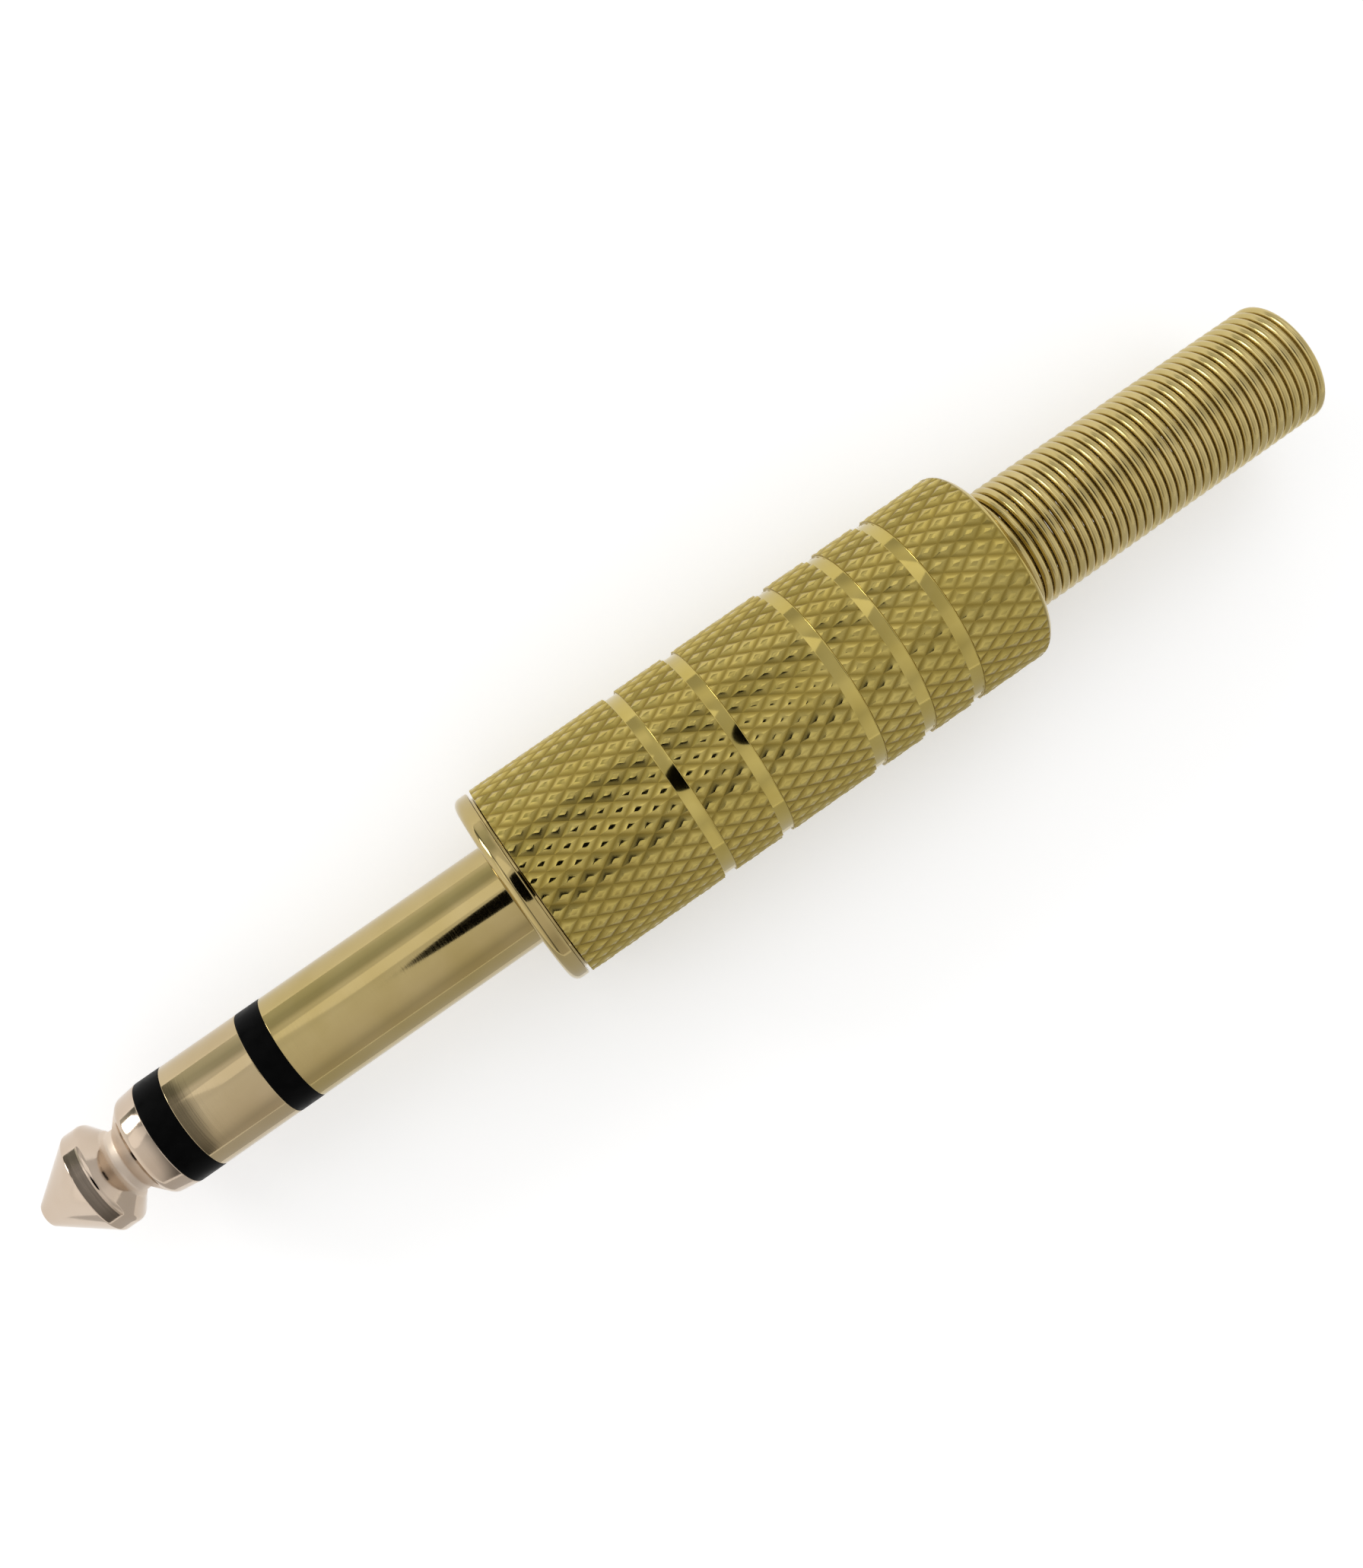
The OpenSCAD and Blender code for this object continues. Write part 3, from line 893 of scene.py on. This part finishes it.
def seenDirectly(owner):
    # 1 where the camera, a reflection or something clear looks straight at it, and 0 where it only gives light
    path = addNode(owner, "ShaderNodeLightPath")
    seen = path.outputs["Is Camera Ray"]
    for other in ("Is Glossy Ray", "Is Transmission Ray"):
        seen = addNode(
            owner, "ShaderNodeMath", [(0, seen), (1, path.outputs[other])], operation="MAXIMUM"
        ).outputs["Value"]
    return seen


def hideFromCamera(card):
    card.visible_camera = False
    card.visible_shadow = False
    card.visible_diffuse = False


floor = {
    "wide": 3.0,
    "colour": (0.86, 0.86, 0.86),
    "rough": 0.9,
    "glow": 0.28,  # brings the lit floor up to white
}


def makeFloor():
    bpy.ops.object.select_all(action="DESELECT")
    bpy.ops.mesh.primitive_plane_add(size=floor["wide"], location=(plugMiddle.x, plugMiddle.y, cadBox[0].z))
    plane = bpy.context.object
    plane.name = "floor"
    material, shader = newFinish("floor", metallic=0.0, shine=0.0)
    shader.inputs["Base Color"].default_value = (*floor["colour"], 1)
    shader.inputs["Roughness"].default_value = floor["rough"]
    glow = addNode(material, "ShaderNodeMath", [(0, seenDirectly(material))], operation="MULTIPLY")
    glow.inputs[1].default_value = floor["glow"]
    shader.inputs["Emission Color"].default_value = (1, 1, 1, 1)
    feed(material, glow.outputs["Value"], shader.inputs["Emission Strength"])
    plane.data.materials.append(material)


# Cards that show only as reflections
cardColour = (0.004, 0.004, 0.004)


def finishCard(card, name, level):
    card.name = name
    material, shader = newFinish(name, metallic=0.0, shine=0.0)
    shader.inputs["Base Color"].default_value = (*cardColour, 1)
    shader.inputs["Roughness"].default_value = 1.0
    shader.inputs["Emission Color"].default_value = (1, 1, 1, 1)
    shader.inputs["Emission Strength"].default_value = level
    card.data.materials.append(material)
    hideFromCamera(card)


# Grey, to the right of the plug: it keeps the gold's right edge from turning white
floorCard = {"place": (-15.0, 105.0), "lift": 0.1, "size": (150.0, 190.0), "level": 0.62}


def makeFloorCard():
    x, y = floorCard["place"]
    bpy.ops.object.select_all(action="DESELECT")
    bpy.ops.mesh.primitive_plane_add(
        size=mm, location=(x * mm, y * mm, cadBox[0].z + floorCard["lift"] * mm)
    )
    card = bpy.context.object
    card.scale = (*floorCard["size"], 1)
    finishCard(card, "floorCard", floorCard["level"])


softBoxes = {  # in metres and watts
    "leftBox": {"place": (0.107, -0.35, 0.60), "size": (0.215, 0.26), "power": 0.059},
    "leftFrontBox": {"place": (0.51, -0.35, 0.60), "size": (0.38, 0.26), "power": 0.13},
    "tailBox": {"place": (-0.40, -0.42, 0.50), "size": (0.5, 0.45), "power": 0.40},
    "frontBox": {"place": (0.26, -0.34, 0.16), "size": (0.10, 0.16), "power": 0.45},
}


def makeSoftBox(name):
    box = softBoxes[name]
    bpy.ops.object.light_add(type="AREA", location=box["place"])
    lamp = bpy.context.object
    lamp.name = name
    lamp.data.shape = "RECTANGLE"
    lamp.data.size, lamp.data.size_y = box["size"]
    lamp.data.energy = box["power"]
    lamp.visible_camera = False
    aim = plugMiddle - lamp.location
    lamp.rotation_euler = aim.to_track_quat("-Z", "Y").to_euler()


worldLevel = 0.82  # on what isn't metal


def makeWorld():
    world = bpy.data.worlds.new("studio")
    bpy.context.scene.world = world
    world.use_nodes = True
    background = world.node_tree.nodes["Background"]
    background.inputs["Color"].default_value = (1, 1, 1, 1)
    level = spreadOver(world, seenDirectly(world), 0.0, 1.0, low=worldLevel)
    feed(world, level, background.inputs["Strength"])


# Dome: what the gold reflects, in brighter and darker bands across the plug and along it
dome = {
    "radius": 0.95,
    "strength": 1.35,
    "across": (  # from the right of the plug over the top to its left
        (0.0, (0.61, 0.58, 0.55)),
        (0.035, (0.55, 0.53, 0.51)),
        (0.10, (0.73, 0.71, 0.69)),
        (0.16, (0.81, 0.79, 0.78)),
        (0.35, (0.88, 0.87, 0.86)),
        (0.55, (0.92, 0.92, 0.92)),
        (0.62, (0.88, 0.88, 0.88)),
        (0.85, (0.90, 0.90, 0.89)),
        (0.90, (0.56, 0.57, 0.52)),
        (0.945, (0.56, 0.58, 0.52)),
        (0.985, (0.72, 0.74, 0.67)),
        (1.0, (1.0, 1.0, 1.0)),
    ),
    "acrossTail": (  # the same, over the cover and the spring
        (0.0, 0.92), (0.03, 0.92), (0.09, 0.74), (0.16, 0.92), (0.25, 1.0), (0.36, 0.92), (0.42, 0.79),
        (0.50, 0.74), (0.60, 0.72), (0.68, 0.68), (0.75, 0.69), (0.86, 0.75), (0.90, 0.93), (0.933, 1.0),
        (0.955, 0.92), (0.98, 0.62), (1.0, 0.56),
    ),
    "tail": (0.0, -0.07),  # where those bands begin and where they are full
    "along": (  # from the tail to the tip
        (0.0, 0.74), (0.10, 0.72), (0.20, 0.60), (0.30, 0.58), (0.42, 0.69), (0.50, 0.72),
        (0.657, 0.74), (0.661, 0.18), (0.725, 0.18), (0.78, 0.72), (1.0, 1.0),
    ),
}


def makeDome():
    bpy.ops.object.select_all(action="DESELECT")
    bpy.ops.mesh.primitive_uv_sphere_add(segments=48, ring_count=24, radius=dome["radius"])
    shell = startPiece("dome")
    bpy.ops.mesh.bisect(plane_co=(0, 0, cadBox[0].z), plane_no=(0, 0, 1), clear_inner=True)
    bpy.ops.object.mode_set(mode="OBJECT")
    material = bpy.data.materials.new("dome")
    material.use_nodes = True
    material.cycles.emission_sampling = "NONE"
    coords = addNode(material, "ShaderNodeTexCoord")
    towards = addNode(material, "ShaderNodeVectorMath", [(0, coords.outputs["Object"])], operation="NORMALIZE")
    split = addNode(material, "ShaderNodeSeparateXYZ", [("Vector", towards.outputs["Vector"])])
    aside = spreadOver(material, split.outputs["Y"], 1.0, -1.0)
    tailShare = spreadOver(material, split.outputs["X"], *dome["tail"])
    bands, tailBands = rampOf(material, aside, dome["across"]), rampOf(material, aside, dome["acrossTail"])
    across = mixOver(material, tailShare, bands, tailBands)
    along = rampOf(material, spreadOver(material, split.outputs["X"], -1.0, 1.0), dome["along"])
    both = mixOver(material, 1.0, across, along, blend="MULTIPLY")
    light = addNode(material, "ShaderNodeEmission", [("Color", both)], Strength=dome["strength"])
    feed(material, light.outputs["Emission"], material.node_tree.nodes["Material Output"].inputs["Surface"])
    shell.data.materials.append(material)
    hideFromCamera(shell)


camera = {
    "place": (-3.38, -1.6, 91.0),
    "target": (-11.1, 0.36, 0.0),
    "imageUp": (-0.57056, -0.82125, 0.0),
    "lens": 37.6,
    "sensor": 36.0,
    "clipStart": 1.0,
    "cardRadius": 27.0,  # a dark card around the lens
    "cardBehind": 1.0,
}


def makeCamera():
    place, target = Vector(camera["place"]) * mm, Vector(camera["target"]) * mm
    bpy.ops.object.camera_add(location=place)
    shooter = bpy.context.object
    shooter.name = "camera"
    back = (place - target).normalized()
    right = Vector(camera["imageUp"]).cross(back).normalized()
    up = back.cross(right)
    turned = Matrix((right, up, back)).transposed()
    shooter.rotation_euler = turned.to_euler()
    shooter.data.lens = camera["lens"]
    shooter.data.sensor_width = camera["sensor"]
    shooter.data.clip_start = camera["clipStart"] * mm
    bpy.context.scene.camera = shooter
    bpy.ops.object.select_all(action="DESELECT")
    bpy.ops.mesh.primitive_circle_add(
        vertices=48, radius=camera["cardRadius"] * mm, fill_type="NGON",
        location=place + back * camera["cardBehind"] * mm,
    )
    card = bpy.context.object
    card.rotation_euler = turned.to_euler()
    finishCard(card, "cameraCard", 0.0)


makeFloor()
makeFloorCard()
for boxName in softBoxes:
    makeSoftBox(boxName)
makeWorld()
makeDome()
makeCamera()
bpy.context.scene.view_settings.view_transform = "Standard"
print("stage set")
